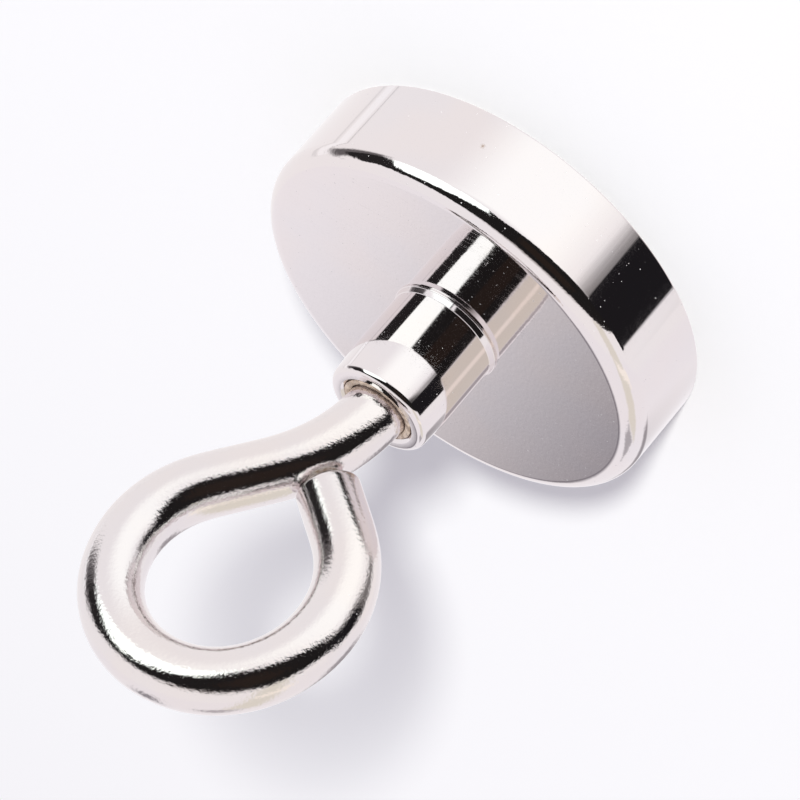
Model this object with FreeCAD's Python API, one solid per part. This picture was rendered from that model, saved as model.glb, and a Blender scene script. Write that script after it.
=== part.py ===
import FreeCAD, Part
import math
import os

# A magnet fishing magnet: a potted ring magnet in a steel cup, a threaded boss held to the
# cup's back by a countersunk screw, and a bent eyebolt screwed into the boss.
#
# Frame: the origin is the centre of the working face, the open face that grips iron.
# +Z runs along the axis towards the eye. The eye lies in the XZ plane. Millimetres.

Vector = FreeCAD.Vector

# Cup
CUP_DIAMETER = 60.0
CUP_HEIGHT = 14.2
CUP_WALL = 3.2
CUP_FLOOR = 6.0
CUP_BACK_ROUND = 2.8
CUP_RIM_CHAMFER = 0.4

# Magnet and what holds it
MAGNET_DIAMETER = 50.0
MAGNET_BORE = 22.0
MAGNET_RECESS = 0.2
MAGNET_EDGE_CHAMFER = 0.3
GLUE_THICKNESS = 0.2
GLUE_MARGIN = 0.2
POTTING_RECESS = 0.45
ASSEMBLY_GAP = 0.02

# Thread, M10 x 1.5, shared by the boss, the fixing screw and the eyebolt
THREAD_DIAMETER = 10.0
THREAD_PITCH = 1.5
RUNNING_CLEARANCE = 0.05

# Boss
BOSS_DIAMETER = 15.4
BOSS_HEIGHT = 15.4
BOSS_FOOT_DIAMETER = 16.1
BOSS_FOOT_HEIGHT = 1.1
BOSS_FOOT_ROUND = 0.3
BOSS_TAPER_HEIGHT = 5.0
BOSS_END_DIAMETER = 14.8
BOSS_END_ROUND = 1.0
BOSS_MOUTH_DIAMETER = 11.4

# Countersunk screw, M10 x 12
SCREW_LENGTH = 12.0
SCREW_HEAD_DIAMETER = 20.0
SCREW_HEAD_LAND = 0.2
SCREW_SOCKET_WIDTH = 6.0
SCREW_SOCKET_SIDES = 6
SCREW_SOCKET_DEPTH = 3.2
SCREW_TIP_CHAMFER = 0.8
SCREW_SEAT_GAP = 0.05
SCREW_HOLE_DIAMETER = 10.5

# Eyebolt, bent from one wire
WIRE_DIAMETER = 8.6
EYEBOLT_TIP_GAP = 1.0
EYEBOLT_TIP_CHAMFER = 0.8
THREAD_END_BELOW_MOUTH = THREAD_PITCH
THREAD_RUN_OUT = 0.3
NECK_START_BELOW_MOUTH = 0.8
NECK_RADIUS = 24.0
NECK_ANGLE = 40.0
NECK_STRAIGHT = 8.6
LOOP_ARCS = [(15.6, 69.0), (14.1, 112.0), (16.3, 91.0)]
LEG_LENGTH = 8.1
CUT_END_ROUND = 0.6

# Cured threadlocker round the wire in the mouth of the boss
LOCKER_HEIGHT = 0.5
LOCKER_ABOVE_THREAD = 0.05

# Heights and radii that follow
CUP_RADIUS = CUP_DIAMETER / 2
CAVITY_RADIUS = CUP_RADIUS - CUP_WALL
CAVITY_DEPTH = CUP_HEIGHT - CUP_FLOOR
MAGNET_TOP = CAVITY_DEPTH - GLUE_THICKNESS
THREAD_RADIUS = THREAD_DIAMETER / 2
BOSS_TOP = CUP_HEIGHT + BOSS_HEIGHT
SCREW_TOP = CAVITY_DEPTH + SCREW_LENGTH
WIRE_RADIUS = WIRE_DIAMETER / 2
EYEBOLT_TIP = SCREW_TOP + EYEBOLT_TIP_GAP
EYEBOLT_THREAD_END = BOSS_TOP - THREAD_END_BELOW_MOUTH
NECK_START = BOSS_TOP - NECK_START_BELOW_MOUTH

FULL_TURN = 360.0
PAST = 1.0  # how far a cutting tool runs past the face it cuts
TOLERANCE = 1e-3  # how near a found edge lies to where it is looked for


def turned(outline):
    """The solid swept by a closed outline of (radius, height) points turned about Z."""
    corners = [Vector(radius, 0, height) for radius, height in outline]
    wire = Part.makePolygon(corners + corners[:1])
    return Part.Face(wire).revolve(Vector(0, 0, 0), Vector(0, 0, 1), FULL_TURN)


def ring(inner_radius, outer_radius, low, high):
    """A plain ring about Z between two heights."""
    return turned([(inner_radius, low), (outer_radius, low), (outer_radius, high), (inner_radius, high)])


def circles_at(shape, radius, height):
    """The circular edges of a turned shape that have this radius and lie at this height."""
    found = []
    for edge in shape.Edges:
        curve = edge.Curve
        if isinstance(curve, Part.Circle) and abs(curve.Radius - radius) < TOLERANCE:
            if abs(curve.Center.z - height) < TOLERANCE:
                found.append(edge)
    return found


def steel_cup():
    """The cup: a thick floor with a countersunk hole, and a wall that reaches the working face."""
    body = Part.makeCylinder(CUP_RADIUS, CUP_HEIGHT)
    body = body.makeFillet(CUP_BACK_ROUND, circles_at(body, CUP_RADIUS, CUP_HEIGHT))
    body = body.makeChamfer(CUP_RIM_CHAMFER, circles_at(body, CUP_RADIUS, 0))
    cavity = Part.makeCylinder(CAVITY_RADIUS, CAVITY_DEPTH + PAST, Vector(0, 0, -PAST))
    seat_radius = SCREW_HEAD_DIAMETER / 2 + SCREW_SEAT_GAP
    hole_radius = SCREW_HOLE_DIAMETER / 2
    seat_top = CAVITY_DEPTH + SCREW_HEAD_LAND
    countersink = turned([
        (0, CAVITY_DEPTH - PAST),
        (seat_radius, CAVITY_DEPTH - PAST),
        (seat_radius, seat_top),
        (hole_radius, seat_top + seat_radius - hole_radius),
        (hole_radius, CUP_HEIGHT + PAST),
        (0, CUP_HEIGHT + PAST),
    ])
    return body.cut(cavity).cut(countersink)


def ring_magnet():
    """The ring magnet, set back a little from the rim, with broken edges."""
    body = ring(MAGNET_BORE / 2, MAGNET_DIAMETER / 2, MAGNET_RECESS, MAGNET_TOP)
    edges = []
    for radius in (MAGNET_BORE / 2, MAGNET_DIAMETER / 2):
        for height in (MAGNET_RECESS, MAGNET_TOP):
            edges += circles_at(body, radius, height)
    return body.makeChamfer(MAGNET_EDGE_CHAMFER, edges)


def magnet_glue():
    """The film of adhesive between the magnet and the cup's floor."""
    inner_radius = MAGNET_BORE / 2 + MAGNET_EDGE_CHAMFER + GLUE_MARGIN
    outer_radius = MAGNET_DIAMETER / 2 - MAGNET_EDGE_CHAMFER - GLUE_MARGIN
    return ring(inner_radius, outer_radius, MAGNET_TOP, CAVITY_DEPTH)


def potting_ring():
    """The resin poured between the magnet and the cup's wall."""
    inner_radius = MAGNET_DIAMETER / 2 + ASSEMBLY_GAP
    outer_radius = CAVITY_RADIUS - ASSEMBLY_GAP
    return ring(inner_radius, outer_radius, POTTING_RECESS, CAVITY_DEPTH)


def threaded_boss():
    """The boss: a sleeve threaded right through, with a foot flange and a slightly tapered end."""
    foot_top = CUP_HEIGHT + BOSS_FOOT_HEIGHT
    end_radius = BOSS_END_DIAMETER / 2
    mouth_radius = BOSS_MOUTH_DIAMETER / 2
    body = turned([
        (THREAD_RADIUS, CUP_HEIGHT),
        (BOSS_FOOT_DIAMETER / 2, CUP_HEIGHT),
        (BOSS_FOOT_DIAMETER / 2, foot_top),
        (BOSS_DIAMETER / 2, foot_top),
        (BOSS_DIAMETER / 2, BOSS_TOP - BOSS_TAPER_HEIGHT),
        (end_radius, BOSS_TOP),
        (mouth_radius, BOSS_TOP),
        (THREAD_RADIUS, BOSS_TOP - (mouth_radius - THREAD_RADIUS)),
    ])
    body = body.makeFillet(BOSS_END_ROUND, circles_at(body, end_radius, BOSS_TOP))
    return body.makeFillet(BOSS_FOOT_ROUND, circles_at(body, BOSS_FOOT_DIAMETER / 2, foot_top))


def fixing_screw():
    """The countersunk screw that draws the boss against the back of the cup."""
    head_radius = SCREW_HEAD_DIAMETER / 2
    shank_radius = THREAD_RADIUS - ASSEMBLY_GAP
    cone_start = CAVITY_DEPTH + SCREW_HEAD_LAND
    body = turned([
        (0, CAVITY_DEPTH),
        (head_radius, CAVITY_DEPTH),
        (head_radius, cone_start),
        (shank_radius, cone_start + head_radius - shank_radius),
        (shank_radius, SCREW_TOP - SCREW_TIP_CHAMFER),
        (shank_radius - SCREW_TIP_CHAMFER, SCREW_TOP),
        (0, SCREW_TOP),
    ])
    half_side = math.pi / SCREW_SOCKET_SIDES
    corner_radius = SCREW_SOCKET_WIDTH / 2 / math.cos(half_side)
    corners = []
    for side in range(SCREW_SOCKET_SIDES):
        turn = 2 * side * half_side
        corners.append(Vector(corner_radius * math.cos(turn), corner_radius * math.sin(turn), CAVITY_DEPTH))
    outline = Part.makePolygon(corners + corners[:1])
    socket = Part.Face(outline).extrude(Vector(0, 0, SCREW_SOCKET_DEPTH))
    return body.cut(socket)


def threadlocker_ring():
    """The cured threadlocker that shows in the mouth of the boss, just above the thread."""
    low = EYEBOLT_THREAD_END + THREAD_RUN_OUT + LOCKER_ABOVE_THREAD
    inner_radius = WIRE_RADIUS + RUNNING_CLEARANCE
    outer_radius = THREAD_RADIUS - RUNNING_CLEARANCE
    return ring(inner_radius, outer_radius, low, low + LOCKER_HEIGHT)


class BentWire:
    """A round wire bent in the XZ plane, made run by run from where the last one ended."""

    def __init__(self, x, z, heading):
        self.x = x
        self.z = z
        self.heading = heading
        self.runs = []

    def direction(self):
        turn = math.radians(self.heading)
        return Vector(math.cos(turn), 0, math.sin(turn))

    def section(self):
        circle = Part.Circle(Vector(self.x, 0, self.z), self.direction(), WIRE_RADIUS)
        return Part.Face(Part.Wire(circle.toShape()))

    def straight(self, length):
        self.runs.append(self.section().extrude(self.direction() * length))
        self.x += length * self.direction().x
        self.z += length * self.direction().z

    def bend(self, radius, angle):
        """Bend through angle degrees: positive turns from +X towards +Z, negative the other way."""
        side = math.copysign(1.0, angle)
        across = math.radians(self.heading + 90 * side)
        centre_x = self.x + radius * math.cos(across)
        centre_z = self.z + radius * math.sin(across)
        centre = Vector(centre_x, 0, centre_z)
        self.runs.append(self.section().revolve(centre, Vector(0, -side, 0), abs(angle)))
        self.heading += angle
        back = math.radians(self.heading - 90 * side)
        self.x = centre_x + radius * math.cos(back)
        self.z = centre_z + radius * math.sin(back)

    def round_end(self, radius):
        """Round the edge of the end that was made last."""
        end = Vector(self.x, 0, self.z)
        edges = [edge for edge in self.runs[-1].Edges if edge.CenterOfMass.distanceToPoint(end) < TOLERANCE]
        self.runs[-1] = self.runs[-1].makeFillet(radius, edges)


def eyebolt():
    """The eyebolt: a threaded shank, a bent neck, a loop on the axis and a cut end at the neck."""
    shank_radius = THREAD_RADIUS - RUNNING_CLEARANCE
    shank = turned([
        (0, EYEBOLT_TIP),
        (shank_radius - EYEBOLT_TIP_CHAMFER, EYEBOLT_TIP),
        (shank_radius, EYEBOLT_TIP + EYEBOLT_TIP_CHAMFER),
        (shank_radius, EYEBOLT_THREAD_END),
        (WIRE_RADIUS, EYEBOLT_THREAD_END + THREAD_RUN_OUT),
        (WIRE_RADIUS, NECK_START),
        (0, NECK_START),
    ])
    wire = BentWire(0, NECK_START, 90.0)
    wire.bend(NECK_RADIUS, -NECK_ANGLE)
    wire.straight(NECK_STRAIGHT)
    for radius, angle in LOOP_ARCS:
        wire.bend(radius, angle)
    wire.straight(LEG_LENGTH)
    wire.round_end(CUT_END_ROUND)
    return shank.multiFuse(wire.runs).removeSplitter()


NODES = {
    "steel_cup": steel_cup,
    "ring_magnet": ring_magnet,
    "magnet_glue": magnet_glue,
    "potting_ring": potting_ring,
    "threaded_boss": threaded_boss,
    "fixing_screw": fixing_screw,
    "threadlocker_ring": threadlocker_ring,
    "eyebolt": eyebolt,
}

os.makedirs("parts", exist_ok=True)
for name, make in NODES.items():
    shape = make().Solids[0]
    shape.exportStep(f"parts/{name}.step")
    box = shape.BoundBox
    print(f"{name}: valid {shape.isValid()}, {len(shape.Solids)} solid, {shape.Volume:.1f} mm3,"
          f" x {box.XMin:.2f}..{box.XMax:.2f}, z {box.ZMin:.2f}..{box.ZMax:.2f}")
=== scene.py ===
import math

import bmesh
import bpy
from mathutils import Matrix, Vector, noise


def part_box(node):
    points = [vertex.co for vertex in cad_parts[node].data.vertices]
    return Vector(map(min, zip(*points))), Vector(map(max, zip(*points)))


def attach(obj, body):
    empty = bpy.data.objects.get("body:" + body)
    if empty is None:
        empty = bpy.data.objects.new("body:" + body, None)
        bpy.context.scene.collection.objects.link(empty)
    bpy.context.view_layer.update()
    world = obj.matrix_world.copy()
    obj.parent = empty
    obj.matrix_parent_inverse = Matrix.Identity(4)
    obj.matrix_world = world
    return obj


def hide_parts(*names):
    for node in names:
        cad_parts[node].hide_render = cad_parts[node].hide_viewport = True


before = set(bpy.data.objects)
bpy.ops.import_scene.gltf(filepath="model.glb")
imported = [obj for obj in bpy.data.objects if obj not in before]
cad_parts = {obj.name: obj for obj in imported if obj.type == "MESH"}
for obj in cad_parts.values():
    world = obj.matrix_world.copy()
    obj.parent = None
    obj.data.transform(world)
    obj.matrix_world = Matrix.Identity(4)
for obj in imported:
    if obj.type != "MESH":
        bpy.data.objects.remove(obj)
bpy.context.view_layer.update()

MM = 0.001
TURN = 2 * math.pi


def round_node(node):
    """(radius, lowest height, highest height) in millimetres of a CAD node that is round about Z."""
    low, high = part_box(node)
    return high.y / MM, low.z / MM, high.z / MM


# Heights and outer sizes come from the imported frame. Millimetres.
CUP_RADIUS, CUP_FACE, CUP_TOP = round_node("steel_cup")
MAGNET_RADIUS, MAGNET_FACE, MAGNET_TOP = round_node("ring_magnet")
POTTING_RADIUS, POTTING_FACE, CAVITY_TOP = round_node("potting_ring")
FOOT_RADIUS, BOSS_BASE, BOSS_TOP = round_node("threaded_boss")
HEAD_RADIUS, HEAD_FACE, SCREW_TIP = round_node("fixing_screw")
LOCKER_RADIUS, LOCKER_LOW = round_node("threadlocker_ring")[:2]
EYEBOLT_TIP = round_node("eyebolt")[1]  # only the lowest height: the eye isn't round about Z

# The object's other dimensions, as its design has them. Millimetres and degrees.
CUP_WALL = 3.2
CUP_BACK_ROUND = 2.8
CUP_RIM_ROUND = 0.4
CUP_MOUTH_ROUND = 0.25
CUP_CORNER_ROUND = 0.3
CUP_HOLE_RADIUS = 5.25
CUP_HOLE_ROUND = 0.1
SEAT_RADIUS = 10.05
SEAT_LAND = 0.2

MAGNET_BORE_RADIUS = 11.0
MAGNET_EDGE = 0.3
POTTING_GAP = 0.02
POTTING_EDGE_RISE = 0.18
POTTING_HOLLOW = 0.3
POTTING_RIPPLE, POTTING_RIPPLE_SIZE = 0.06, 2.2

THREAD_PITCH = 1.5
THREAD_RADIUS = 5.0
# Smallest and largest radius of the thread in the boss, and of the threads on screw and eyebolt
INNER_THREAD = (4.22, 5.04)
OUTER_THREAD = (4.12, 4.95)
SHANK_RADIUS = OUTER_THREAD[1]

BOSS_RADIUS = 7.7
BOSS_END_RADIUS = 7.4
BOSS_TAPER = 5.0
BOSS_END_ROUND = 1.0
FOOT_HEIGHT = 1.1
# The rim of the boss's foot: (in from its largest radius, up from its base, rounding)
FOOT_RIM = ((0.06, 0, 0), (0, 0.1, 0.06), (0, 0.3, 0.09), (0.08, 0.32, 0.01))
FOOT_FILLET_WIDTH, FOOT_FILLET_HEIGHT, FOOT_FILLET_ROUND = 0.08, 0.06, 0.05
MOUTH_RADIUS = 5.7
MOUTH_ROUND = 0.12
MOUTH_LOW = BOSS_TOP - MOUTH_RADIUS + THREAD_RADIUS

SOCKET_WIDTH = 6.0
SOCKET_DEPTH = 3.2
SOCKET_CORNER = 1.14  # how far out the eased corners reach, as a share of half the width
SOCKET_LIP_RADIUS = 3.75
SOCKET_LIP_DEPTH = 0.3
DRILL_RADIUS = 2.6
DRILL_POINT_RADIUS, DRILL_POINT_DEPTH = 0.02, 0.55
HEAD_ROUND = 0.1
SCREW_TIP_RADIUS = 4.1

WIRE_RADIUS = 4.3
WIRE_UNEVENNESS, WIRE_UNEVENNESS_LENGTH = 0.02, 9.0
THREAD_RUN_OUT = 0.3
WIRE_START = BOSS_TOP - THREAD_PITCH + THREAD_RUN_OUT
EYEBOLT_TIP_RADIUS = 4.15
TIP_FLAT_RADIUS = 2.0
NECK_START = BOSS_TOP - 0.8
NECK_BEND = (24.0, -40.0)
NECK_STRAIGHT = 8.54
LOOP_BENDS = ((15.6, 69.0), (14.1, 112.0), (16.3, 91.0))
LEG_LENGTH = 8.1
BEND_EASE = 2.0
# The broken edge of the cut end: (how far back from the end, how far in from the surface)
CUT_END = (
    (1.0, 0.0),
    (0.86, 0.02),
    (0.74, 0.09),
    (0.3, 0.52),
    (0.14, 0.72),
    (0.04, 0.92),
    (0.0, 1.15),
    (0.0, 2.6),
)

LOCKER_TOP = BOSS_TOP - 0.1
LOCKER_GAP = 0.02
LOCKER_SQUARENESS = 0.6  # below 1 the bead's section is fuller than a circle
LOCKER_LUMPS, LOCKER_GRAIN = 2.5, 9.0  # the larger the number, the finer the unevenness

# How finely the meshes are made
CUP_SEGMENTS = 288
BOSS_SEGMENTS = 192
WIRE_SEGMENTS = 96
ARC_STEPS = 10
POTTING_STEPS = 12
LOCKER_STEPS = 20
EASE_STEPS = 4
WIRE_STEP = 0.5
WELD = 2e-7
SHARP = math.radians(38)


# ---------------------------------------------------------------- mesh helpers

def outline(*corners):
    """Points of an outline from (radius, height, rounding) corners; a rounding makes a tangent arc."""
    points = []
    for i, (radius, height, rounding) in enumerate(corners):
        here = Vector((radius, height))
        if rounding == 0:
            points.append(here)
            continue
        back = (Vector(corners[i - 1][:2]) - here).normalized()
        ahead = (Vector(corners[(i + 1) % len(corners)][:2]) - here).normalized()
        half = back.angle(ahead) / 2
        centre = here + (back + ahead).normalized() * (rounding / math.sin(half))
        start = here + back * (rounding / math.tan(half)) - centre
        end = here + ahead * (rounding / math.tan(half)) - centre
        sweep = start.angle(end)
        for step in range(ARC_STEPS + 1):
            part = step / ARC_STEPS
            arm = start * math.sin((1 - part) * sweep) + end * math.sin(part * sweep)
            points.append(centre + arm / math.sin(sweep))
    return points


def ring_row(bm, radius, height, segments):
    """One ring of vertices about Z, from millimetres."""
    row = []
    for i in range(segments):
        angle = TURN * i / segments
        place = Vector((radius * math.cos(angle), radius * math.sin(angle), height))
        row.append(bm.verts.new(place * MM))
    return row


def bridge(bm, low, high):
    """Quads between two rings of the same length."""
    for i in range(len(low)):
        k = (i + 1) % len(low)
        bm.faces.new((low[i], low[k], high[k], high[i]))


def lathe(bm, points, segments, closed=False):
    """A surface turned about Z through (radius, height) points; returns its rings."""
    rings = [ring_row(bm, radius, height, segments) for radius, height in points]
    for low, high in zip(rings, rings[1:]):
        bridge(bm, low, high)
    if closed:
        bridge(bm, rings[-1], rings[0])
    return rings


# Where a thread's rows of vertices lie within one pitch. A flank meets the root at THREAD_FOOT from
# the middle of the crest, and takes THREAD_FLANK of the pitch.
THREAD_PHASES = (0.0, 0.0625, 0.14, 0.22, 0.3, 0.38, 0.4375, 0.5, 0.5625, 0.62, 0.7, 0.78, 0.86, 0.9375)
THREAD_FOOT = 0.4375
THREAD_FLANK = 0.375


def thread_depth(phase):
    """How far out from root to crest a thread is, from 0 to 1, at a phase of its pitch."""
    from_crest = abs(phase - 0.5)
    return min(1.0, max(0.0, (THREAD_FOOT - from_crest) / THREAD_FLANK))


def thread(bm, low, high, radii, low_end, high_end, segments):
    """A right-hand helical thread about Z between two heights, with a smallest and a largest radius.

    low_end and high_end are (radius, fade): the plain circle that the thread runs out to, and over
    what height. Rows of vertices follow the helix, so that crest and root stay crisp.
    """
    smallest, largest = radii
    rows = []
    for turn in range(math.floor(low / THREAD_PITCH) - 1, math.ceil(high / THREAD_PITCH) + 1):
        for phase in THREAD_PHASES:
            full = smallest + (largest - smallest) * thread_depth(phase)
            row = []
            for i in range(segments):
                z = min(high, max(low, (turn + phase + i / segments) * THREAD_PITCH))
                radius = low_end[0] + (full - low_end[0]) * min(1.0, (z - low) / low_end[1])
                radius = high_end[0] + (radius - high_end[0]) * min(1.0, (high - z) / high_end[1])
                angle = TURN * i / segments
                place = Vector((radius * math.cos(angle), radius * math.sin(angle), z))
                row.append(bm.verts.new(place * MM))
            rows.append(row)
    per_turn = len(THREAD_PHASES)
    for j in range(len(rows) - 1):
        for i in range(segments - 1):
            bm.faces.new((rows[j][i], rows[j][i + 1], rows[j + 1][i + 1], rows[j + 1][i]))
        if j + per_turn + 1 < len(rows):
            bm.faces.new((rows[j][-1], rows[j + per_turn][0], rows[j + per_turn + 1][0], rows[j + 1][-1]))


def close_mesh(bm, name):
    """Welds the parts of a mesh, removes what collapsed, and turns the faces outward."""
    bmesh.ops.remove_doubles(bm, verts=bm.verts, dist=WELD)
    bmesh.ops.dissolve_degenerate(bm, edges=bm.edges, dist=WELD)
    loose = [vert for vert in bm.verts if not vert.link_faces]
    bmesh.ops.delete(bm, geom=loose, context="VERTS")
    bmesh.ops.recalc_face_normals(bm, faces=bm.faces)
    mesh = bpy.data.meshes.new(name)
    bm.to_mesh(mesh)
    bm.free()
    return mesh


def piece(name, mesh, body, material, node):
    """A finished piece: smooth shaded, riding on its body, standing for its CAD node."""
    shape = bpy.data.objects.new(name, mesh)
    bpy.context.scene.collection.objects.link(shape)
    mesh.polygons.foreach_set("use_smooth", [True] * len(mesh.polygons))
    mesh.set_sharp_from_angle(angle=SHARP)
    weighted = shape.modifiers.new("even normals", "WEIGHTED_NORMAL")
    weighted.keep_sharp = True
    mesh.materials.append(material)
    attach(shape, body)
    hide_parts(node)
    return shape


# ---------------------------------------------------------------- pieces

def cup_mesh():
    """The cup: rounded back, thin rim, cavity and the countersunk hole for the screw."""
    bm = bmesh.new()
    inside = CUP_RADIUS - CUP_WALL
    seat_top = CAVITY_TOP + SEAT_LAND
    lathe(bm, outline(
        (inside, CUP_FACE, CUP_MOUTH_ROUND),
        (CUP_RADIUS, CUP_FACE, CUP_RIM_ROUND),
        (CUP_RADIUS, CUP_TOP, CUP_BACK_ROUND),
        (CUP_HOLE_RADIUS, CUP_TOP, CUP_HOLE_ROUND),
        (CUP_HOLE_RADIUS, seat_top + SEAT_RADIUS - CUP_HOLE_RADIUS, 0),
        (SEAT_RADIUS, seat_top, 0),
        (SEAT_RADIUS, CAVITY_TOP, 0),
        (inside, CAVITY_TOP, CUP_CORNER_ROUND),
    ), CUP_SEGMENTS, closed=True)
    return close_mesh(bm, "steel_cup_shell")


def magnet_mesh():
    """The ring magnet with broken edges."""
    bm = bmesh.new()
    lathe(bm, outline(
        (MAGNET_BORE_RADIUS, MAGNET_FACE, MAGNET_EDGE),
        (MAGNET_RADIUS, MAGNET_FACE, MAGNET_EDGE),
        (MAGNET_RADIUS, MAGNET_TOP, MAGNET_EDGE),
        (MAGNET_BORE_RADIUS, MAGNET_TOP, MAGNET_EDGE),
    ), CUP_SEGMENTS, closed=True)
    return close_mesh(bm, "ring_magnet_body")


def potting_mesh():
    """The resin between magnet and wall, whose open surface is drawn up at both edges."""
    bm = bmesh.new()
    inner = MAGNET_RADIUS + POTTING_GAP
    width = POTTING_RADIUS - inner
    points = []
    for step in range(POTTING_STEPS + 1):
        across = step / POTTING_STEPS
        hollow = 1 - (2 * across - 1) ** 2
        height = POTTING_FACE - POTTING_EDGE_RISE + POTTING_HOLLOW * hollow
        points.append((inner + width * across, height))
    points += [(POTTING_RADIUS, CAVITY_TOP), (inner, CAVITY_TOP)]
    rings = lathe(bm, points, CUP_SEGMENTS, closed=True)
    for ring in rings[1:POTTING_STEPS]:
        for vert in ring:
            vert.co.z += POTTING_RIPPLE * MM * noise.noise(vert.co / (POTTING_RIPPLE_SIZE * MM))
    return close_mesh(bm, "potting_resin_ring")


def boss_mesh():
    """The boss: foot flange, body, slight taper, rounded end, and a thread right through."""
    bm = bmesh.new()
    foot_top = BOSS_BASE + FOOT_HEIGHT
    rim = [(FOOT_RADIUS - inset, BOSS_BASE + up, rounding) for inset, up, rounding in FOOT_RIM]
    lathe(bm, outline(
        (THREAD_RADIUS, BOSS_BASE, 0),
        *rim,
        (BOSS_RADIUS + FOOT_FILLET_WIDTH, foot_top - FOOT_FILLET_HEIGHT, FOOT_FILLET_ROUND),
        (BOSS_RADIUS, foot_top, FOOT_FILLET_ROUND),
        (BOSS_RADIUS, BOSS_TOP - BOSS_TAPER, 0),
        (BOSS_END_RADIUS, BOSS_TOP, BOSS_END_ROUND),
        (MOUTH_RADIUS, BOSS_TOP, MOUTH_ROUND),
        (THREAD_RADIUS, MOUTH_LOW, 0),
    ), BOSS_SEGMENTS)
    low_end, high_end = (THREAD_RADIUS, 0.6), (THREAD_RADIUS, 0.7)
    thread(bm, BOSS_BASE, MOUTH_LOW, INNER_THREAD, low_end, high_end, BOSS_SEGMENTS)
    return close_mesh(bm, "threaded_boss_body")


def hexagon_row(bm, width, height, segments):
    """A ring of vertices on a hexagon this wide across its flats, with slightly eased corners."""
    row = []
    for i in range(segments):
        angle = TURN * i / segments
        off_flat = (angle % (math.pi / 3)) - math.pi / 6
        radius = min(width / 2 / math.cos(off_flat), width / 2 * SOCKET_CORNER)
        place = Vector((radius * math.cos(angle), radius * math.sin(angle), height))
        row.append(bm.verts.new(place * MM))
    return row


def screw_mesh():
    """The countersunk screw: hexagon socket, head and thread."""
    bm = bmesh.new()
    socket_top = HEAD_FACE + SOCKET_DEPTH
    middle = ring_row(bm, DRILL_POINT_RADIUS, socket_top + DRILL_POINT_DEPTH, WIRE_SEGMENTS)
    bm.faces.new(middle)
    drill = ring_row(bm, DRILL_RADIUS, socket_top, WIRE_SEGMENTS)
    floor = hexagon_row(bm, SOCKET_WIDTH, socket_top, WIRE_SEGMENTS)
    wall = hexagon_row(bm, SOCKET_WIDTH, HEAD_FACE + SOCKET_LIP_DEPTH, WIRE_SEGMENTS)
    lip = ring_row(bm, SOCKET_LIP_RADIUS, HEAD_FACE, WIRE_SEGMENTS)
    for low, high in ((middle, drill), (drill, floor), (floor, wall), (wall, lip)):
        bridge(bm, low, high)
    cone_top = HEAD_FACE + SEAT_LAND + HEAD_RADIUS - SHANK_RADIUS
    lathe(bm, outline(
        (SOCKET_LIP_RADIUS, HEAD_FACE, 0),
        (HEAD_RADIUS, HEAD_FACE, HEAD_ROUND),
        (HEAD_RADIUS, HEAD_FACE + SEAT_LAND, 0),
        (SHANK_RADIUS, cone_top, 0),
    ), WIRE_SEGMENTS)
    low_end, high_end = (SHANK_RADIUS, 0.5), (SCREW_TIP_RADIUS, 0.85)
    thread(bm, cone_top, SCREW_TIP, OUTER_THREAD, low_end, high_end, WIRE_SEGMENTS)
    rim = ring_row(bm, SCREW_TIP_RADIUS, SCREW_TIP, WIRE_SEGMENTS)
    end = ring_row(bm, TIP_FLAT_RADIUS, SCREW_TIP, WIRE_SEGMENTS)
    bridge(bm, rim, end)
    bm.faces.new(end)
    return close_mesh(bm, "fixing_screw_body")


def locker_mesh():
    """The bead of cured threadlocker that fills the mouth of the boss, uneven, just clear of it."""
    bm = bmesh.new()
    middle = (LOCKER_LOW + LOCKER_TOP) / 2
    half = (LOCKER_TOP - LOCKER_LOW) / 2
    inner = WIRE_RADIUS + LOCKER_GAP
    rings = []
    for step in range(LOCKER_STEPS):
        turn = TURN * step / LOCKER_STEPS
        z = middle - half * math.sin(turn)
        outer = LOCKER_RADIUS + max(0.0, z - MOUTH_LOW)
        across = 0.5 - 0.5 * math.copysign(abs(math.cos(turn)) ** LOCKER_SQUARENESS, math.cos(turn))
        ring = []
        for i in range(BOSS_SEGMENTS):
            angle = TURN * i / BOSS_SEGMENTS
            x, y = math.cos(angle), math.sin(angle)
            coarse = noise.noise(Vector((x * LOCKER_LUMPS, y * LOCKER_LUMPS, 4.0)))
            fine = noise.noise(Vector((x * LOCKER_GRAIN, y * LOCKER_GRAIN, step * 0.3)))
            radius = inner + (outer - inner) * across * (0.97 + 0.03 * fine)
            height = z - (z - LOCKER_LOW) * (0.1 + 0.1 * coarse + 0.08 * fine)
            ring.append(bm.verts.new(Vector((radius * x, radius * y, height)) * MM))
        rings.append(ring)
    for low, high in zip(rings, rings[1:] + rings[:1]):
        bridge(bm, low, high)
    return close_mesh(bm, "threadlocker_bead")


def wire_route():
    """Points (x, z, heading, distance) along the bent wire, about WIRE_STEP apart.

    Millimetres and radians; the distance is measured along the wire from the start of its neck.

    The direction of each step is averaged over a short stretch, because a real wire eases into
    its bends.
    """
    runs = [(NECK_BEND[0] * math.radians(abs(NECK_BEND[1])), NECK_BEND[1]), (NECK_STRAIGHT, 0.0)]
    runs += [(radius * math.radians(angle), angle) for radius, angle in LOOP_BENDS]
    runs.append((LEG_LENGTH, 0.0))

    def heading(s):
        """Heading at a distance s along the runs."""
        turned = 90.0
        for length, angle in runs:
            turned += angle * min(1.0, max(0.0, s / length))
            s -= length
        return math.radians(turned)

    total = sum(length for length, angle in runs)
    count = round(total / WIRE_STEP)
    step = total / count
    nearby = [BEND_EASE * k / EASE_STEPS for k in range(-EASE_STEPS, EASE_STEPS + 1)]
    x, z = 0.0, NECK_START
    route = [(x, z, heading(0), 0.0)]
    for i in range(count):
        middle = (i + 0.5) * step
        course = sum(heading(middle + offset) for offset in nearby) / len(nearby)
        x += step * math.cos(course)
        z += step * math.sin(course)
        route.append((x, z, heading((i + 1) * step), (i + 1) * step))
    return route


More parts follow.
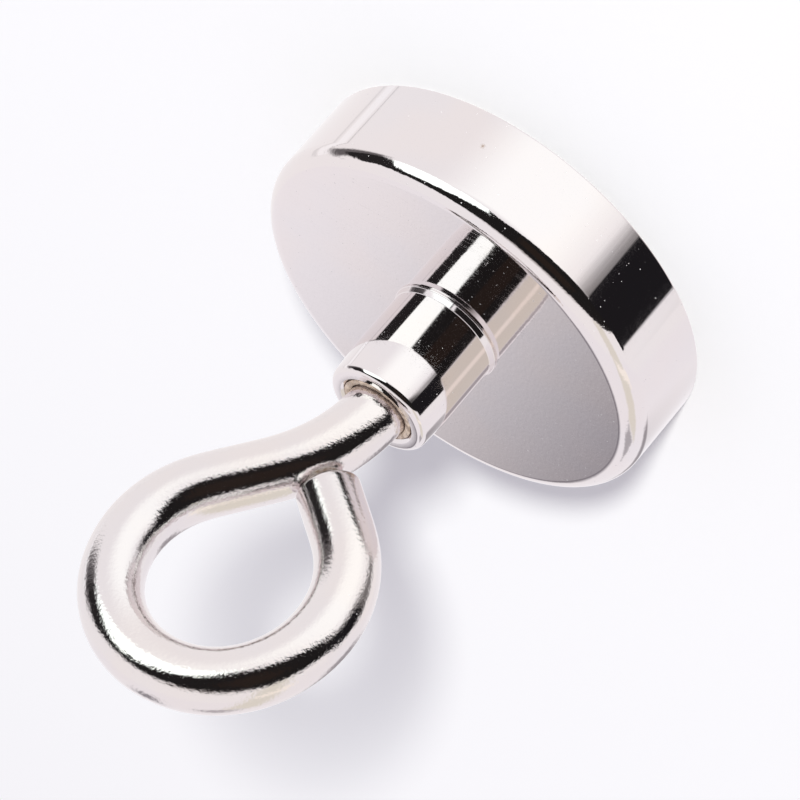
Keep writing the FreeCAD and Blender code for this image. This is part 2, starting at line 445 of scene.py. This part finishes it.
def wire_radius(s):
    """The wire's radius at a distance s: a little uneven, as drawn wire is after bending."""
    return WIRE_RADIUS - WIRE_UNEVENNESS * (1 + noise.noise(Vector((s / WIRE_UNEVENNESS_LENGTH, 0.3, 0.7))))


def wire_row(bm, x, z, heading, radius):
    """One ring of vertices round the wire, square to its heading in the XZ plane."""
    row = []
    for i in range(WIRE_SEGMENTS):
        angle = TURN * i / WIRE_SEGMENTS
        across = radius * math.cos(angle)
        sideways = radius * math.sin(angle)
        place = Vector((x + across * math.sin(heading), sideways, z - across * math.cos(heading)))
        row.append(bm.verts.new(place * MM))
    return row


def eyebolt_mesh():
    """The eyebolt: thread, bent neck, loop, and the cut end beside the neck."""
    bm = bmesh.new()
    tip = ring_row(bm, TIP_FLAT_RADIUS, EYEBOLT_TIP, WIRE_SEGMENTS)
    bm.faces.new(tip)
    bridge(bm, tip, ring_row(bm, EYEBOLT_TIP_RADIUS, EYEBOLT_TIP, WIRE_SEGMENTS))
    low_end, high_end = (EYEBOLT_TIP_RADIUS, 0.8), (WIRE_RADIUS, 1.2)
    thread(bm, EYEBOLT_TIP, WIRE_START, OUTER_THREAD, low_end, high_end, WIRE_SEGMENTS)
    route = wire_route()
    end_x, end_z, end_heading, total = route[-1]
    rows = [ring_row(bm, WIRE_RADIUS, WIRE_START, WIRE_SEGMENTS)]
    for x, z, heading, s in route:
        if s > total - CUT_END[0][0] - WIRE_STEP / 2:
            break
        rows.append(wire_row(bm, x, z, heading, wire_radius(s)))
    end_radius = wire_radius(total)
    for back, inset in CUT_END:
        x = end_x - back * math.cos(end_heading)
        z = end_z - back * math.sin(end_heading)
        rows.append(wire_row(bm, x, z, end_heading, end_radius - inset))
    for low, high in zip(rows, rows[1:]):
        bridge(bm, low, high)
    bm.faces.new(rows[-1])
    return close_mesh(bm, "eyebolt_wire")


# ---------------------------------------------------------------- camera

VIEW_FROM = Vector((-216.6, -470.56, 270.05)) * MM
VIEW_AT = Vector((-1.27, 0.58, 26.11)) * MM
VIEW_ROLL = math.radians(220.73)
LENS = 199.57
SENSOR_WIDTH = 36.0
CLIP_END = 20.0


def make_camera():
    """The camera: a long lens, rolled so that the eye hangs to the lower left."""
    data = bpy.data.cameras.new("camera")
    data.lens = LENS
    data.sensor_width = SENSOR_WIDTH
    data.clip_end = CLIP_END
    camera = bpy.data.objects.new("camera", data)
    bpy.context.scene.collection.objects.link(camera)
    ahead = (VIEW_AT - VIEW_FROM).normalized()
    level = ahead.cross(Vector((0, 0, 1))).normalized()
    upright = level.cross(ahead)
    right = level * math.cos(VIEW_ROLL) + upright * math.sin(VIEW_ROLL)
    up = right.cross(ahead)
    camera.matrix_world = Matrix((
        (right.x, up.x, -ahead.x, VIEW_FROM.x),
        (right.y, up.y, -ahead.y, VIEW_FROM.y),
        (right.z, up.z, -ahead.z, VIEW_FROM.z),
        (0, 0, 0, 1),
    ))
    bpy.context.scene.camera = camera


# ---------------------------------------------------------------- shader helpers

class Nodes:
    """Adds nodes to a shader tree; an input is a number, a tuple or another node's output."""

    def __init__(self, tree):
        """Empties the tree, to fill it anew."""
        self.tree = tree
        tree.nodes.clear()

    def add(self, kind, inputs=None, **settings):
        """A node of this kind, with its settings and with its inputs set or linked."""
        node = self.tree.nodes.new(kind)
        for name, value in settings.items():
            setattr(node, name, value)
        for name, value in (inputs or {}).items():
            if isinstance(value, bpy.types.NodeSocket):
                self.tree.links.new(value, node.inputs[name])
            else:
                node.inputs[name].default_value = value
        return node

    def math(self, operation, first, second=0.0):
        """A number worked out from one or two others."""
        return self.add("ShaderNodeMath", {0: first, 1: second}, operation=operation).outputs[0]

    def vector_math(self, operation, first, second=(0.0, 0.0, 0.0)):
        """A number worked out from one or two vectors."""
        node = self.add("ShaderNodeVectorMath", {0: first, 1: second}, operation=operation)
        return node.outputs["Value"]

    def span(self, value, low, high, to_low=0.0, to_high=1.0):
        """value from low..high mapped smoothly to to_low..to_high, and held there beyond the ends."""
        inputs = {"Value": value, "From Min": low, "From Max": high, "To Min": to_low, "To Max": to_high}
        return self.add("ShaderNodeMapRange", inputs, interpolation_type="SMOOTHSTEP").outputs["Result"]

    def blend(self, share, first, second):
        """Colour that goes from first to second as share goes from 0 to 1."""
        node = self.add("ShaderNodeMix", {0: share}, data_type="RGBA")
        # Of the node's inputs, 6 and 7 are the two colours, and of its outputs 2 is the colour.
        for socket, value in ((node.inputs[6], first), (node.inputs[7], second)):
            if isinstance(value, bpy.types.NodeSocket):
                self.tree.links.new(value, socket)
            else:
                socket.default_value = (*value, 1.0)
        return node.outputs[2]

    def noise(self, place, size, detail=2.0, roughness=0.5):
        """Noise with features about size millimetres across."""
        inputs = {"Vector": place, "Scale": 1 / (size * MM), "Detail": detail, "Roughness": roughness}
        return self.add("ShaderNodeTexNoise", inputs).outputs["Fac"]

    def stretched_noise(self, place, size, detail, turn=(0.0, 0.0, 0.0)):
        """Noise with features of this (x, y, z) size in millimetres, after a turn in radians."""
        scale = tuple(1 / (length * MM) for length in size)
        mapping = self.add("ShaderNodeMapping", {"Vector": place, "Rotation": turn, "Scale": scale})
        inputs = {"Vector": mapping.outputs[0], "Scale": 1.0, "Detail": detail}
        return self.add("ShaderNodeTexNoise", inputs).outputs["Fac"]

    def background(self, colour, strength=1.0):
        """A background shader for a world."""
        return self.add("ShaderNodeBackground", {"Color": colour, "Strength": strength}).outputs[0]

    def mix_shaders(self, share, first, second):
        """A shader that goes from first to second as share goes from 0 to 1."""
        return self.add("ShaderNodeMixShader", {0: share, 1: first, 2: second}).outputs[0]


# ---------------------------------------------------------------- light

def toward(azimuth, elevation):
    """Unit direction from an azimuth, degrees from +X to +Y, and an elevation in degrees."""
    a, e = math.radians(azimuth), math.radians(elevation)
    return Vector((math.cos(a) * math.cos(e), math.sin(a) * math.cos(e), math.sin(e)))


def card(nodes, looking, corners, soft):
    """How much a direction looks at a card with these (azimuth, elevation) corners, from 0 to 1.

    The card is what lies inside all of its edges, which are great circles. soft is the sine of
    half the angle that an edge fades over.
    """
    inside = 1.0
    middle = sum((toward(*corner) for corner in corners), Vector()).normalized()
    for start, end in zip(corners, corners[1:] + corners[:1]):
        edge = toward(*start).cross(toward(*end)).normalized()
        if edge.dot(middle) < 0:
            edge = -edge
        past_edge = nodes.vector_math("DOT_PRODUCT", looking, edge)
        inside = nodes.math("MINIMUM", inside, nodes.span(past_edge, -soft, soft))
    return inside


PALE = (0.965, 0.957, 1.0)
SOFT_TINT = (0.965, 0.93, 1.01)
SOFT_LIGHT = 0.595
KEY_COLOUR = (1.0, 1.02, 0.95)
KEY_POWER = 312.0
KEY_SIZE = 0.56
KEY_AIM = Vector((0, 0, 30)) * MM
KEY_DISTANCE = 5.0
KEY_AZIMUTH, KEY_ELEVATION = 252.0, 22.5
FLOOR_COLOUR = (0.93, 0.93, 0.95)
FLOOR_ROUGHNESS = 0.9
FLOOR_RADIUS = 6.0
FLOOR_SEGMENTS = 96
FLOOR_FADE = (0.35, 1.0)

# What surrounds the object, as polished metal shows it: a softly lit table on one side, a bright
# window and a bright front, and the dark opening that it is seen through. Each card is a name, a
# colour, how soft its edges are, and its corners as (azimuth, elevation). A later card hides an
# earlier one. Colours above 1 are brighter than the dome, which is what lies behind all cards.
DOME = (1.0, 0.985, 0.995)
CARDS = (
    ("table", (0.98, 0.96, 0.99), 0.06,
     ((183, -60), (183, 50), (95, 75), (5, 45), (5, -30), (95, -60))),
    ("shade_on_table", (0.24, 0.225, 0.25), 0.07,
     ((66.5, 17), (66.5, 42), (75, 42), (75, 17))),
    ("shade_by_boss", (0.5, 0.48, 0.5), 0.04,
     ((93, 19), (93, 32), (110, 32), (110, 19))),
    ("shade_below", (0.38, 0.36, 0.38), 0.06,
     ((84, -24.5), (84, -13), (118, -13), (118, -24.5))),
    ("far_edge_of_table", (0.84, 0.81, 0.73), 0.05,
     ((112, 14), (112, 32), (190, 32), (190, 14))),
    ("bright_line", (1.1, 1.04, 0.95), 0.05,
     ((151, 12), (151, 34), (161, 34), (161, 12))),
    ("front", (1.22, 1.245, 1.225), 0.26,
     ((219, -6), (226, -60), (286, -68), (286, -6))),
    ("seam", (0.7, 0.69, 0.7), 0.006,
     ((0.3, -60), (0.3, 30), (1.6, 30), (1.6, -60))),
    ("strip", (1.08, 1.08, 1.1), 0.01,
     ((3, -60), (3, 10), (9, 10), (9, -60))),
    ("second_seam", (0.84, 0.83, 0.84), 0.008,
     ((11, -60), (11, 10), (13, 10), (13, -60))),
    ("haze_above", (0.3, 0.28, 0.27), 0.12,
     ((196, 30), (206, 52), (240, 66), (285, 64), (270, 40), (210, 25))),
    ("arch", (0.015, 0.014, 0.014), 0.025,
     ((228, 30), (232, 59), (285, 63.5), (326, 50), (346, 30), (321, 2), (267, 2))),
    ("window", (1.5, 1.64, 1.58), 0.025,
     ((267, 1), (265, 17), (291, 34.5), (303, 37.5), (322, 34), (321, 1))),
    ("haze_beside", (0.2, 0.19, 0.19), 0.08,
     ((162, -32), (198, -32), (192, -66), (164, -66))),
    ("opening", (0.014, 0.013, 0.013), 0.025,
     ((192, 27), (204, 42), (232, 58), (267, 59), (267, 9), (250, 0), (206, -24), (178, -30))),
    ("worn_edge", (0.3, 0.29, 0.29), 0.1,
     ((190, -20), (209, -20), (209, -45), (190, -45))),
    ("opening_low", (0.013, 0.012, 0.014), 0.015,
     ((170, -14), (203, -14), (201.5, -40), (166, -40))),
    ("warm_room", (0.024, 0.017, 0.014), 0.05,
     ((212, 8), (212, 34), (246, 40), (246, 12))),
    ("foot_of_frame", (0.14, 0.13, 0.135), 0.08,
     ((325, 12), (325, -6), (0, -6), (0, 20))),
    ("frame", (0.022, 0.02, 0.021), 0.03,
     ((321, 34), (324, 2), (350, 6), (350, 33))),
)


def make_world():
    """A pale studio: plain for the camera and for soft light, with cards and flags for the metal."""
    world = bpy.data.worlds.new("studio")
    world.use_nodes = True
    bpy.context.scene.world = world
    nodes = Nodes(world.node_tree)
    looking = nodes.add("ShaderNodeTexCoord").outputs["Generated"]
    reflected = DOME
    for _, colour, soft, corners in CARDS:
        reflected = nodes.blend(card(nodes, looking, corners, soft), reflected, colour)
    ray = nodes.add("ShaderNodeLightPath").outputs
    for_metal = nodes.background(reflected)
    soft_light = nodes.background((*SOFT_TINT, 1.0), SOFT_LIGHT)
    beyond_floor = nodes.background((*PALE, 1.0))
    shown = nodes.mix_shaders(ray["Is Camera Ray"], soft_light, beyond_floor)
    shown = nodes.mix_shaders(ray["Is Glossy Ray"], shown, for_metal)
    nodes.add("ShaderNodeOutputWorld", {"Surface": shown})


def make_key_light():
    """The soft light that gives the shadows their side; the metal doesn't show it."""
    data = bpy.data.lights.new("key", "AREA")
    data.shape = "DISK"
    data.size = KEY_SIZE
    data.energy = KEY_POWER
    data.color = KEY_COLOUR
    light = bpy.data.objects.new("key", data)
    bpy.context.scene.collection.objects.link(light)
    light.location = KEY_AIM + toward(KEY_AZIMUTH, KEY_ELEVATION) * KEY_DISTANCE
    light.rotation_euler = (KEY_AIM - light.location).to_track_quat("-Z", "Y").to_euler()
    light.visible_glossy = False
    light.visible_camera = False


def make_floor():
    """A plain pale floor under the working face; far away it fades into the pale background."""
    bm = bmesh.new()
    bmesh.ops.create_circle(bm, cap_ends=True, radius=FLOOR_RADIUS, segments=FLOOR_SEGMENTS)
    mesh = bpy.data.meshes.new("floor")
    bm.to_mesh(mesh)
    bm.free()
    floor = bpy.data.objects.new("floor", mesh)
    bpy.context.scene.collection.objects.link(floor)
    material = bpy.data.materials.new("floor")
    material.use_nodes = True
    nodes = Nodes(material.node_tree)
    inputs = {"Base Color": (*FLOOR_COLOUR, 1.0), "Roughness": FLOOR_ROUGHNESS, "Specular IOR Level": 0.0}
    near = nodes.add("ShaderNodeBsdfPrincipled", inputs).outputs[0]
    far = nodes.add("ShaderNodeEmission", {"Color": (*PALE, 1.0), "Strength": 1.0}).outputs[0]
    place = nodes.add("ShaderNodeTexCoord").outputs["Object"]
    fading = nodes.span(nodes.vector_math("LENGTH", place), *FLOOR_FADE)
    shader = nodes.mix_shaders(fading, near, far)
    nodes.add("ShaderNodeOutputMaterial", {"Surface": shader})
    mesh.materials.append(material)
    floor.visible_glossy = False


# ---------------------------------------------------------------- materials

PLATE_TINTS = ((0.81, 0.765, 0.775), (0.83, 0.77, 0.765))
WIRE_TINTS = ((0.8, 0.755, 0.76), (0.82, 0.76, 0.745))
DUST = (0.5, 0.49, 0.5)
RUST = (0.2, 0.11, 0.06)
# Brown residue with painted shade: it darkens the wire where the cut end meets the neck
RESIDUE_AND_SHADE = (0.2, 0.135, 0.1)
LOCKER_DARK, LOCKER_LIGHT = (0.34, 0.255, 0.2), (0.62, 0.5, 0.42)
EPOXY_DARK, EPOXY_LIGHT, EPOXY_DUST = (0.012, 0.012, 0.014), (0.03, 0.03, 0.033), (0.35, 0.35, 0.36)
FILM_DARK, FILM_LIGHT = (0.42, 0.33, 0.2), (0.56, 0.47, 0.32)
ZINC_DARK, ZINC_LIGHT = (0.5, 0.52, 0.55), (0.66, 0.66, 0.67)

# Depths and spacings in millimetres; a rust spot, or a patch of residue and painted shade, is its centre
# and its radius
MARK_DEPTH = 0.0005
STREAK_WIDTH, STREAK_LENGTH = 0.5, 25.0
TURNING_MARKS = 0.18
CUP_STAINS = (((-0.99, -29.98, 5.0), 0.1),)
# The wire's patch is brown residue and painted shade in the crotch between the cut end and the neck
WIRE_STAIN_AND_SHADE = (((-1.4, 0.0, 42.4), 2.5),)
STAIN_AND_SHADE_RAGGEDNESS = 0.9


def new_material(name):
    """A material with its nodes, its place in the object's own space, and its Principled shader."""
    material = bpy.data.materials.new(name)
    material.use_nodes = True
    nodes = Nodes(material.node_tree)
    place = nodes.add("ShaderNodeTexCoord").outputs["Object"]
    shader = nodes.add("ShaderNodeBsdfPrincipled")
    nodes.add("ShaderNodeOutputMaterial", {"Surface": shader.outputs[0]})
    return material, nodes, place, shader


def finish_shader(nodes, shader, colour, metallic, roughness, height, depth):
    """Connects a Principled shader; height is 0 to 1 and depth is its size in millimetres."""
    for name, value in (("Base Color", colour), ("Metallic", metallic), ("Roughness", roughness)):
        if isinstance(value, bpy.types.NodeSocket):
            nodes.tree.links.new(value, shader.inputs[name])
        else:
            shader.inputs[name].default_value = value
    bump = nodes.add("ShaderNodeBump", {"Height": height, "Strength": 1.0, "Distance": depth * MM})
    nodes.tree.links.new(bump.outputs[0], shader.inputs["Normal"])


def specks(nodes, place, cell, size, share):
    """Round specks, one at most to a cell of this many millimetres, in this share of the cells."""
    inputs = {"Vector": place, "Scale": 1 / (cell * MM), "Randomness": 1.0}
    cells = nodes.add("ShaderNodeTexVoronoi", inputs)
    chance = nodes.add("ShaderNodeSeparateColor", {0: cells.outputs["Color"]}).outputs
    radius = nodes.math("MULTIPLY", chance["Green"], size / cell)
    near = nodes.span(nodes.math("SUBTRACT", radius, cells.outputs["Distance"]), 0.0, 0.3 * size / cell)
    return nodes.math("MULTIPLY", near, nodes.math("LESS_THAN", chance["Red"], share))


def hairlines(nodes, place, turn, length, width, share):
    """Fine straight scratches: the peaks of stretched noise; a larger share shows more of them."""
    value = nodes.stretched_noise(place, (length, width, width), 0.0, turn)
    return nodes.span(value, 0.8 - share, 0.84 - share)


def stain_and_shade(nodes, place, spots):
    """How much a rust spot, or residue with painted shade, covers the surface, 0 to 1; spots are ((x, y,
    z), radius) in millimetres.
    """
    ragged = nodes.math("MULTIPLY", nodes.noise(place, 0.5, 3.0), STAIN_AND_SHADE_RAGGEDNESS * MM)
    stained_and_shaded = 0.0
    for centre, radius in spots:
        away = nodes.vector_math("DISTANCE", place, Vector(centre) * MM)
        reach = nodes.math("ADD", away, ragged)
        near = nodes.span(reach, (radius + STAIN_AND_SHADE_RAGGEDNESS) * MM, (radius + STAIN_AND_SHADE_RAGGEDNESS / 3) * MM)
        stained_and_shaded = nodes.math("MAXIMUM", stained_and_shaded, near)
    patchy = nodes.span(nodes.noise(place, 0.7, 3.0), 0.35, 0.65, 0.4, 0.95)
    return nodes.math("MULTIPLY", stained_and_shaded, patchy)


def waves_on_edges(nodes, place):
    """Unevenness that buffing leaves on rounded edges, as a height about zero."""
    normal = nodes.add("ShaderNodeTexCoord").outputs["Normal"]
    facing = nodes.add("ShaderNodeSeparateXYZ", {0: normal}).outputs["Z"]
    rounded = nodes.math("MULTIPLY", nodes.span(facing, 0.04, 0.25), nodes.span(facing, 0.998, 0.95))
    return nodes.math("MULTIPLY", nodes.math("SUBTRACT", nodes.noise(place, 1.5, 3.0, 0.55), 0.5), rounded)


def nickel_height(nodes, place, marks, grain, grain_depth, streaks, edges):
    """The relief of nickel plate, in units of grain_depth."""
    marked = nodes.math("MULTIPLY", marks, MARK_DEPTH / grain_depth)
    height = nodes.math("SUBTRACT", nodes.noise(place, grain, 3.0, 0.55), marked)
    if streaks:
        drawn = nodes.stretched_noise(place, (STREAK_WIDTH, STREAK_WIDTH, STREAK_LENGTH), 2.0)
        height = nodes.math("ADD", height, nodes.math("MULTIPLY", drawn, streaks))
    if edges:
        waves = nodes.math("MULTIPLY", waves_on_edges(nodes, place), edges)
        height = nodes.math("ADD", height, waves)
    return height


def nickel(name, tints, roughness, grain, grain_depth, dust_share,
           streaks=0.0, edges=0.0, spots=(), spot_colour=RUST):
    """Nickel plate: slightly uneven tint and gloss, fine grain, hairlines, pin-pricks and dust.

    roughness is (clean, hazed). grain and grain_depth are the size and depth of the surface's
    unevenness in millimetres. streaks and edges are how deep the streaks along the axis and the
    waves on rounded edges are, beside the grain. spots are where spot_colour lies on the plate:
    a rust spot, or brown residue with painted shade where the wire's cut end meets its neck.
    """
    material, nodes, place, shader = new_material(name)
    lines = nodes.math("MAXIMUM",
                       hairlines(nodes, place, (0.4, 0.9, 0.2), 9.0, 0.06, 0.05),
                       hairlines(nodes, place, (1.3, -0.5, 2.2), 6.0, 0.05, 0.04))
    pricks = specks(nodes, place, 2.6, 0.3, 0.35)
    marks = nodes.math("MAXIMUM", lines, pricks)
    dust = specks(nodes, place, 0.62, 0.11, dust_share)
    stained_and_shaded = stain_and_shade(nodes, place, spots) if spots else 0.0
    haze = nodes.span(nodes.noise(place, 9.0, 3.0), 0.35, 0.7, *roughness)
    rough = nodes.math("ADD", haze, nodes.math("MULTIPLY", marks, 0.1))
    rough = nodes.math("ADD", rough, nodes.math("MULTIPLY", nodes.math("MAXIMUM", dust, stained_and_shaded), 0.5))
    tint = nodes.blend(nodes.span(nodes.noise(place, 16.0), 0.35, 0.65), *tints)
    # Over the spots, spot_colour: a rust spot, or brown residue with painted shade on the wire
    colour = nodes.blend(stained_and_shaded, nodes.blend(dust, tint, DUST), spot_colour)
    dirt_and_shade = nodes.math("MAXIMUM", dust, nodes.math("MULTIPLY", stained_and_shaded, 0.7))
    metallic = nodes.math("SUBTRACT", 1.0, dirt_and_shade)
    height = nickel_height(nodes, place, marks, grain, grain_depth, streaks, edges)
    finish_shader(nodes, shader, colour, metallic, rough, height, grain_depth)
    return material


def potting_resin():
    """Black epoxy: glossy in patches, with fine dust and a few bubbles."""
    material, nodes, place, shader = new_material("black_epoxy")
    dust = specks(nodes, place, 0.8, 0.1, 0.25)
    bubbles = specks(nodes, place, 1.7, 0.35, 0.3)
    rough = nodes.span(nodes.noise(place, 3.0, 3.0), 0.3, 0.7, 0.25, 0.5)
    colour = nodes.blend(nodes.noise(place, 5.0), EPOXY_DARK, EPOXY_LIGHT)
    colour = nodes.blend(dust, colour, EPOXY_DUST)
    height = nodes.math("SUBTRACT", nodes.noise(place, 0.8, 3.0), bubbles)
    finish_shader(nodes, shader, colour, 0.0, rough, height, 0.03)
    return material


def adhesive():
    """Cured epoxy film, amber, with fine ripples."""
    material, nodes, place, shader = new_material("adhesive_film")
    colour = nodes.blend(nodes.noise(place, 2.0), FILM_DARK, FILM_LIGHT)
    rough = nodes.span(nodes.noise(place, 1.2), 0.3, 0.7, 0.2, 0.45)
    finish_shader(nodes, shader, colour, 0.0, rough, nodes.noise(place, 0.6), 0.02)
    return material


def cured_locker():
    """Cured threadlocker: brown, mottled and waxy, with bits of metal dust in it."""
    material, nodes, place, shader = new_material("cured_threadlocker")
    colour = nodes.blend(nodes.span(nodes.noise(place, 0.9, 3.0), 0.35, 0.65), LOCKER_DARK, LOCKER_LIGHT)
    glints = specks(nodes, place, 0.35, 0.09, 0.3)
    colour = nodes.blend(glints, colour, DUST)
    rough = nodes.span(nodes.noise(place, 0.5), 0.3, 0.7, 0.35, 0.65)
    finish_shader(nodes, shader, colour, 0.0, rough, nodes.noise(place, 0.5, 3.0), 0.04)
    return material


def zinc_screw():
    """Zinc-plated steel: dull bluish grey, with turning marks round the axis."""
    material, nodes, place, shader = new_material("zinc_plate")
    split = nodes.add("ShaderNodeSeparateXYZ", {0: place}).outputs
    radius = nodes.math("SQRT", nodes.math("ADD", nodes.math("POWER", split["X"], 2.0),
                                           nodes.math("POWER", split["Y"], 2.0)))
    rings = nodes.math("SINE", nodes.math("MULTIPLY", radius, TURN / (TURNING_MARKS * MM)))
    colour = nodes.blend(nodes.noise(place, 3.0, 3.0), ZINC_DARK, ZINC_LIGHT)
    rough = nodes.span(nodes.noise(place, 1.5, 3.0), 0.3, 0.7, 0.24, 0.42)
    height = nodes.math("ADD", nodes.math("MULTIPLY", rings, 0.3), nodes.noise(place, 0.4, 3.0))
    finish_shader(nodes, shader, colour, 1.0, rough, height, 0.004)
    return material


# ---------------------------------------------------------------- the whole

def build():
    """Makes the pieces and their materials; the adhesive film stays the CAD solid."""
    plated = nickel("nickel_cup", PLATE_TINTS, (0.03, 0.06), 1.6, 0.0006, 0.3,
                    streaks=5.0, edges=40.0, spots=CUP_STAINS)
    bright = nickel("bright_nickel", PLATE_TINTS, (0.03, 0.06), 1.6, 0.0006, 0.3, streaks=6.0)
    # The wire's spots are brown residue and painted shade between its cut end and its neck
    satin = nickel("satin_nickel", WIRE_TINTS, (0.05, 0.08), 0.45, 0.038, 0.1,
                   spots=WIRE_STAIN_AND_SHADE, spot_colour=RESIDUE_AND_SHADE)
    dull = nickel("dull_nickel", PLATE_TINTS, (0.2, 0.32), 0.5, 0.004, 0.1)
    piece("cup", cup_mesh(), "magnet_pot", plated, "steel_cup")
    piece("magnet", magnet_mesh(), "magnet_pot", dull, "ring_magnet")
    piece("potting", potting_mesh(), "magnet_pot", potting_resin(), "potting_ring")
    piece("boss", boss_mesh(), "magnet_pot", bright, "threaded_boss")
    piece("countersunk_screw", screw_mesh(), "magnet_pot", zinc_screw(), "fixing_screw")
    piece("locker_bead", locker_mesh(), "threadlocker", cured_locker(), "threadlocker_ring")
    piece("eyebolt_wire", eyebolt_mesh(), "eyebolt", satin, "eyebolt")
    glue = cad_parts["magnet_glue"].data
    glue.materials.clear()
    glue.materials.append(adhesive())


make_camera()
make_world()
make_key_light()
make_floor()
build()

bpy.context.scene.view_settings.view_transform = "Standard"
